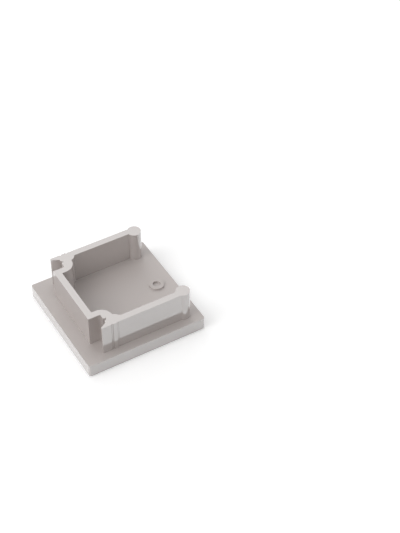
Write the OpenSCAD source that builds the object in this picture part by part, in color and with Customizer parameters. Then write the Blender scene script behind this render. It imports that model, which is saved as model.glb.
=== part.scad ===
// End cap for a square slotted profile: a flat cover plate, with a hollow plug standing on its inner face.
// The plug is a thin wall on three sides of a square, and its fourth side (+X) is open.
// The origin is the centre of the finished face. Z points into the profile. Both halves, +Y and -Y, match.

/* [Cover plate] */
// Width of the square plate, the same as the profile's
plate_w = 30; // [24:0.5:60]
// Thickness of the plate
plate_t = 3.5; // [1.5:0.1:8]
// Radius of the plate's four upright corners
corner_r = 0.55; // [0.45:0.05:1.5]
// Radius of the rim round the finished face
rim_r = 0.35; // [0.1:0.05:0.4]

/* [Plug] */
// Height of the plug above the plate
plug_h = 8; // [4:0.5:16]
// Thickness of all the plug's walls
wall_t = 1.6; // [1.2:0.05:2]
// Bare plate beside the end wall
end_margin = 3.4; // [2.5:0.1:4.5]
// Bare plate beside each side wall
side_margin = 2.15; // [1.5:0.05:2.6]
// Bare plate beyond the open side
open_margin = 2.25; // [1.5:0.05:4]

/* [Corner notches] */
// Plate edge to the centre of the screw port, along X
port_from_end = 6; // [5.6:0.1:8]
// Plate edge to the centre of the screw port, along Y
port_from_side = 4.95; // [4.8:0.05:6]
// Clear radius round the screw port
port_r = 1.15; // [0.8:0.05:1.4]
// Step that narrows the notch: its depth and its upper edge, from the port's centre
step_x = 0.38; // [0:0.02:0.6]
step_y = 0.3; // [0:0.05:0.6]
// Screw port's centre to the inner end of the bevel behind the nose, along X and along Y
bevel_x = 0.5; // [0.2:0.05:0.8]
bevel_y = 1.5; // [1.2:0.05:1.6]

/* [Nose and guide rib] */
// Plate edge to the nose of the side wall
nose_margin = 4.7; // [4.5:0.1:5.4]
// Thickness of the nose's blunt end
nose_t = 0.35; // [0.2:0.05:0.6]
// How far the nose stands out past the side wall's face
nose_proud = 0.1; // [0.05:0.05:0.3]
// Screw port's centre to the middle of the rib
rib_from_port = 2.05; // [1.8:0.05:3]
// Width of the rib
rib_w = 1; // [0.6:0.05:1.2]
// How far the rib stands out past the side wall's face
rib_proud = 0.15; // [0.05:0.05:0.3]
// Width of the round-floored groove on each side of the rib
groove_w = 0.5; // [0.3:0.05:0.7]
// Depth of these grooves below the side wall's face
groove_d = 0.1; // [0.05:0.05:0.4]
// Radius of the thickening behind the rib
back_r = 1.55; // [1.2:0.05:2]
// Its centre: past the rib towards the open side, and outside the wall's inner face
back_x = 0.5; // [0:0.05:0.8]
back_y = 0.45; // [0.2:0.05:0.6]

/* [Bulbs] */
// Radius of the bulb that ends each side wall
bulb_r = 1.65; // [1.2:0.05:2]
// How far the bulb stands out past the side wall's face
bulb_proud = 0.4; // [0.1:0.05:0.6]

/* [Ring mark] */
// Plate edge to the centre of the ring
ring_margin = 4.4; // [3:0.1:6]
// Outer radius of the ring
ring_r = 1.75; // [1.2:0.05:2]
// Radius of the pit inside it
pit_r = 0.9; // [0.5:0.05:1]
// Height of the ring above the plate
ring_h = 0.5; // [0.1:0.05:1]

/* [Hidden] */
$fn = 96;
half_w = plate_w / 2;
end_out = end_margin - half_w;
side_out = half_w - side_margin;
side_in = side_out - wall_t;
side_mid = side_out - wall_t / 2;
port_x = port_from_end - half_w;
port_y = half_w - port_from_side;
lobe_r = port_r + wall_t;
nose_x = nose_margin - half_w;
nose_out = side_out + nose_proud;
rib_x = port_x + rib_from_port;
groove_x = (rib_w + groove_w) / 2;
bulb_x = half_w - open_margin - bulb_r;
bulb_y = side_out + bulb_proud - bulb_r;
ring_x = half_w - ring_margin;
// Cutting shapes run on past the plug by this much, so that no two faces only touch
past = 1;
// The plug starts this far inside the plate, so that the two are one solid
root = 0.5;

// Section of the plate across its width, with the rim's radius at both lower corners
module rim_section(width) {
    square_w = width - 2 * rim_r;
    translate([-width / 2, rim_r]) square([width, plate_t - rim_r]);
    translate([-square_w / 2, 0]) square([square_w, plate_t]);
    for (side = [-1, 1]) translate([side * square_w / 2, rim_r]) circle(rim_r);
}

// Corner of the plate: a post with the corner's radius, turned so that the rim runs round it
module corner_post() {
    rotate_extrude() intersection() {
        rim_section(2 * corner_r);
        square([corner_r, plate_t]);
    }
}

module plate() {
    straight = plate_w - 2 * corner_r;
    corner = straight / 2;
    for (turn = [0, 90])
        rotate([90, 0, turn]) linear_extrude(straight, center = true) rim_section(plate_w);
    for (x = [-corner, corner], y = [-corner, corner]) translate([x, y, 0]) corner_post();
}

// Low ring with a pit in it, on the bare plate at the open side
module ring_mark() {
    translate([ring_x, 0, plate_t - root]) difference() {
        cylinder(h = root + ring_h, r = ring_r);
        translate([0, 0, root]) cylinder(h = ring_h + past, r = pit_r);
    }
}

// Round part of the plug's wall, kept on the inner side of the side wall's middle line
module lobe(x, y, r) {
    intersection() {
        translate([x, y]) circle(r);
        translate([port_x, y - r]) square([x + r - port_x, side_mid - y + r]);
    }
}

// Wall that leaves the end wall, bends round the screw port and joins the side wall
module port_wall() {
    translate([end_out, port_y - lobe_r]) square([port_x - end_out, wall_t]);
    lobe(port_x, port_y, lobe_r);
    lobe(rib_x + back_x, side_in + back_y, back_r);
}

// Space that the profile's screw port takes, open towards the end: a round pocket and its way out,
// widened by the bevel behind the nose and narrowed by the step
module port_notch() {
    difference() {
        union() {
            translate([port_x, port_y]) circle(port_r);
            translate([end_out - past, port_y - port_r]) square([port_x - end_out + past, 2 * port_r]);
            polygon([
                [port_x, port_y],
                [port_x + bevel_x, port_y + bevel_y],
                [nose_x, nose_out - nose_t],
                [nose_x - past, nose_out - nose_t],
                [nose_x - past, port_y]
            ]);
        }
        translate([port_x + step_x, port_y - port_r]) square([port_r, port_r + step_y]);
    }
}

// Side wall from its nose to the bulb, with the proud nose and the guide rib on its outer face
module side_wall() {
    translate([nose_x, side_in]) square([bulb_x - nose_x, wall_t]);
    translate([nose_x, side_mid]) square([rib_x - groove_x - nose_x, nose_out - side_mid]);
    translate([rib_x - groove_x, side_mid]) square([2 * groove_x, side_out + rib_proud - side_mid]);
}

// Grooves that part the guide rib from the nose and from the long stretch of wall
module rib_grooves() {
    for (side = [-1, 1]) translate([rib_x + side * groove_x, side_out - groove_d + groove_w / 2]) {
        circle(groove_w / 2);
        translate([-groove_w / 2, 0]) square([groove_w, groove_w]);
    }
}

// Outline of the plug on its +Y side
module half_outline() {
    difference() {
        union() {
            port_wall();
            side_wall();
            translate([bulb_x, bulb_y]) circle(bulb_r);
        }
        port_notch();
        rib_grooves();
    }
}

module outline() {
    end_half = port_y - port_r;
    translate([end_out, -end_half]) square([wall_t, 2 * end_half]);
    half_outline();
    mirror([0, 1]) half_outline();
}

module plug() {
    translate([0, 0, plate_t - root]) linear_extrude(root + plug_h) outline();
}

module end_cap() {
    color([0.78, 0.765, 0.75]) union() {
        plate();
        ring_mark();
        plug();
    }
}

end_cap();
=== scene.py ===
import math

import bpy
from mathutils import Matrix, Vector


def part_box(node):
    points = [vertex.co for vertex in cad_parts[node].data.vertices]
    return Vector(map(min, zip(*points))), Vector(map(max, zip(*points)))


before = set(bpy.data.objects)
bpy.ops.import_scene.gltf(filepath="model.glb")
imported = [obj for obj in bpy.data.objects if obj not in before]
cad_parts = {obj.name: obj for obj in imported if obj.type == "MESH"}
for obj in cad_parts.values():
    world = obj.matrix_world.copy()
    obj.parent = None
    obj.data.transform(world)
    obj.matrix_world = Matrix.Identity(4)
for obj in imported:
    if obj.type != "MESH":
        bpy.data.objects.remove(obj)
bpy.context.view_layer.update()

# The photograph's frame, and the camera that was fitted to the plate's corners in it
PHOTO_W = 400
PHOTO_H = 533
FOCAL_PX = 1366.9
CAMERA_AT = Vector((-0.09704, -0.20276, 0.23088))
CAMERA_ELEVATION = math.radians(43.97)
CAMERA_AZIMUTH = math.radians(-30.52)
CAMERA_ROLL = 0.0008
CAMERA_NEAR = 0.01
CAMERA_FAR = 10.0
SENSOR_MM = 36.0

# Warm light grey of the moulding as linear colour, and how far it drifts to each side of that
GREY = (0.466, 0.416, 0.396)
SHADE_DRIFT = 0.015
DRIFT_SCALE = 90.0
DRIFT_DETAIL = 3.0

# Gloss of the moulding: the ranges over which its roughness drifts, and its clear outer skin
PLASTIC_IOR = 1.9
PLASTIC_SPECULAR = 1.0
POLISHED_ROUGHNESS = (0.08, 0.13)
SHEEN_ROUGHNESS = (0.52, 0.58)
SKIN_IOR = 2.2
SKIN_ROUGHNESS = 0.05

# Where the sheen is: on faces that lie level, by the height of their normal, and only on the plate,
# which ends below this band of heights
LEVEL_NORMAL = (0.6, 0.95)
ABOVE_PLATE = (0.0045, 0.005)

# Fine grain of the mould's surface
GRAIN_SCALE = 5200.0
GRAIN_DETAIL = 2.0
GRAIN_STRENGTH = 0.12
GRAIN_DEPTH = 0.00001

# Soft sky: an even part, and soft patches as azimuth, elevation, sharpness and strength
SKY_EVEN = 0.287
SKY_PATCHES = [
    (0, 20, 8, 0.235),
    (0, 50, 12, 0.774),
    (60, 50, 12, 0.625),
    (90, 15, 12, 0.829),
    (90, 30, 16, 0.774),
    (180, 20, 8, 1.098),
    (180, 35, 20, 1.59),
    (180, 50, 12, 2.014),
    (300, 20, 8, 0.476),
]

# Paper under the cap: its shade for the light it throws back, and its shade and glow where it is seen,
# straight or in a reflection
PAPER_BOUNCE = 0.4
PAPER_SEEN = 0.92
PAPER_GLOW = 0.21
PAPER_SIZE = 2.4

# Sockets of the Mix node, whose names repeat
MIX_FACTOR = 0
MIX_NUMBERS = (2, 3)
MIX_NUMBER_OUT = 0
MIX_COLOURS = (6, 7)
MIX_COLOUR_OUT = 2


def rgba(colour):
    """Colour with full opacity."""
    return (*colour, 1.0)


def new_material(name):
    """Empty node material and its tree."""
    material = bpy.data.materials.new(name)
    material.use_nodes = True
    material.node_tree.nodes.clear()
    return material, material.node_tree


def add_node(tree, kind, inputs, **settings):
    """Node with its settings made and its inputs filled, each with a plain value or from a socket."""
    node = tree.nodes.new("ShaderNode" + kind)
    for name, value in settings.items():
        setattr(node, name, value)
    for key, value in inputs.items():
        if isinstance(value, bpy.types.NodeSocket):
            tree.links.new(value, node.inputs[key])
        else:
            node.inputs[key].default_value = value
    return node


def noise(tree, place, scale, detail):
    """Even noise at a scale, from 0 to 1."""
    node = add_node(tree, "TexNoise", {"Vector": place, "Scale": scale, "Detail": detail})
    return node.outputs["Fac"]


def calculate(tree, operation, *values):
    """Result of one Math operation."""
    node = add_node(tree, "Math", dict(enumerate(values)), operation=operation)
    return node.outputs["Value"]


def map_range(tree, value, source=(0.0, 1.0), target=(0.0, 1.0)):
    """Value carried over from the source range to the target range, and held inside it."""
    node = add_node(tree, "MapRange", {
        "Value": value,
        "From Min": source[0],
        "From Max": source[1],
        "To Min": target[0],
        "To Max": target[1],
    })
    return node.outputs["Result"]


def z_part(tree, vector):
    """Upward part of a vector."""
    return add_node(tree, "SeparateXYZ", {"Vector": vector}).outputs["Z"]


def moulded_plastic():
    """Moulded plastic: the plug and the plate's sides are polished and mirror the table, and the plate's
    two broad faces have the softer sheen of a finely eroded tool. Shade and gloss drift faintly over both."""
    material, tree = new_material("cap_plastic")
    place = add_node(tree, "TexCoord", {}).outputs
    drift = noise(tree, place["Object"], DRIFT_SCALE, DRIFT_DETAIL)
    grain = noise(tree, place["Object"], GRAIN_SCALE, GRAIN_DETAIL)

    darker, lighter = ([c * (1.0 + side * SHADE_DRIFT) for c in GREY] for side in (-1, 1))
    shade = add_node(tree, "Mix", {
        MIX_FACTOR: drift,
        MIX_COLOURS[0]: rgba(darker),
        MIX_COLOURS[1]: rgba(lighter),
    }, data_type="RGBA")

    level = map_range(tree, calculate(tree, "ABSOLUTE", z_part(tree, place["Normal"])), LEVEL_NORMAL)
    on_plate = map_range(tree, z_part(tree, place["Object"]), ABOVE_PLATE, (1.0, 0.0))
    broad_face = calculate(tree, "MULTIPLY", level, on_plate)
    roughness = add_node(tree, "Mix", {
        MIX_FACTOR: broad_face,
        MIX_NUMBERS[0]: map_range(tree, drift, target=POLISHED_ROUGHNESS),
        MIX_NUMBERS[1]: map_range(tree, drift, target=SHEEN_ROUGHNESS),
    })
    bump = add_node(tree, "Bump", {"Height": grain, "Strength": GRAIN_STRENGTH, "Distance": GRAIN_DEPTH})

    shader = add_node(tree, "BsdfPrincipled", {
        "Base Color": shade.outputs[MIX_COLOUR_OUT],
        "IOR": PLASTIC_IOR,
        "Specular IOR Level": PLASTIC_SPECULAR,
        "Roughness": roughness.outputs[MIX_NUMBER_OUT],
        "Coat Weight": map_range(tree, broad_face, target=(1.0, 0.0)),
        "Coat IOR": SKIN_IOR,
        "Coat Roughness": SKIN_ROUGHNESS,
        "Normal": bump.outputs["Normal"],
    })
    add_node(tree, "OutputMaterial", {"Surface": shader.outputs["BSDF"]})
    return material


def dress_cap():
    """Gives the solid its plastic."""
    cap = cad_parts["end_cap"]
    cap.data.materials.clear()
    cap.data.materials.append(moulded_plastic())


def paper_material():
    """Pale paper: a plain surface to the light it throws back, and white to the camera and to reflections."""
    material, tree = new_material("paper")
    bounce = add_node(tree, "BsdfDiffuse", {"Color": rgba([PAPER_BOUNCE] * 3)})
    seen = add_node(tree, "BsdfDiffuse", {"Color": rgba([PAPER_SEEN] * 3)})
    glow = add_node(tree, "Emission", {"Strength": PAPER_GLOW})
    lifted = add_node(tree, "AddShader", {0: seen.outputs["BSDF"], 1: glow.outputs["Emission"]})
    ray = add_node(tree, "LightPath", {}).outputs
    straight_or_glossy = calculate(tree, "MAXIMUM", ray["Is Camera Ray"], ray["Is Glossy Ray"])
    is_seen = calculate(tree, "MAXIMUM", straight_or_glossy, ray["Is Transmission Ray"])
    mix = add_node(tree, "MixShader", {
        "Fac": is_seen,
        1: bounce.outputs["BSDF"],
        2: lifted.outputs["Shader"],
    })
    add_node(tree, "OutputMaterial", {"Surface": mix.outputs["Shader"]})
    return material


def build_paper():
    """Sheet of paper that the cap lies on."""
    low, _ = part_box("end_cap")
    bpy.ops.mesh.primitive_plane_add(size=PAPER_SIZE, location=(0.0, 0.0, low.z))
    paper = bpy.context.object
    paper.name = "paper"
    paper.data.materials.append(paper_material())


def towards(azimuth, elevation):
    """Unit vector at an azimuth and an elevation in degrees."""
    turn, rise = math.radians(azimuth), math.radians(elevation)
    return Vector((math.cos(turn) * math.cos(rise), math.sin(turn) * math.cos(rise), math.sin(rise)))


def build_sky():
    """World whose brightness is the even part plus each soft patch."""
    world = bpy.data.worlds.new("studio")
    world.use_nodes = True
    tree = world.node_tree
    background = tree.nodes["Background"]
    background.inputs["Color"].default_value = (1.0, 1.0, 1.0, 1.0)
    direction = add_node(tree, "TexCoord", {}).outputs["Generated"]
    brightness = SKY_EVEN
    for azimuth, elevation, sharpness, strength in SKY_PATCHES:
        facing = add_node(tree, "VectorMath", {0: direction, 1: towards(azimuth, elevation)},
                          operation="DOT_PRODUCT")
        ahead = calculate(tree, "MAXIMUM", facing.outputs["Value"], 0.0)
        patch = calculate(tree, "POWER", ahead, sharpness)
        brightness = calculate(tree, "MULTIPLY_ADD", patch, strength, brightness)
    tree.links.new(brightness, background.inputs["Strength"])
    bpy.context.scene.world = world


def build_camera():
    """Camera at the photograph's viewing angle, with no shift and no depth of field."""
    az, el = CAMERA_AZIMUTH, CAMERA_ELEVATION
    back = Vector((math.sin(az) * math.cos(el), -math.cos(az) * math.cos(el), math.sin(el)))
    right = Vector((math.cos(az), math.sin(az), 0.0))
    up = back.cross(right)
    turned_right = right * math.cos(CAMERA_ROLL) + up * math.sin(CAMERA_ROLL)
    turned_up = up * math.cos(CAMERA_ROLL) - right * math.sin(CAMERA_ROLL)
    data = bpy.data.cameras.new("camera")
    data.sensor_width = SENSOR_MM
    data.lens = FOCAL_PX * SENSOR_MM / max(PHOTO_W, PHOTO_H)
    data.clip_start = CAMERA_NEAR
    data.clip_end = CAMERA_FAR
    camera = bpy.data.objects.new("camera", data)
    axes = Matrix((turned_right, turned_up, back)).transposed().to_4x4()
    camera.matrix_world = Matrix.Translation(CAMERA_AT) @ axes
    bpy.context.scene.collection.objects.link(camera)
    bpy.context.scene.camera = camera


bpy.context.scene.view_settings.view_transform = "Standard"
build_camera()
dress_cap()
build_paper()
build_sky()
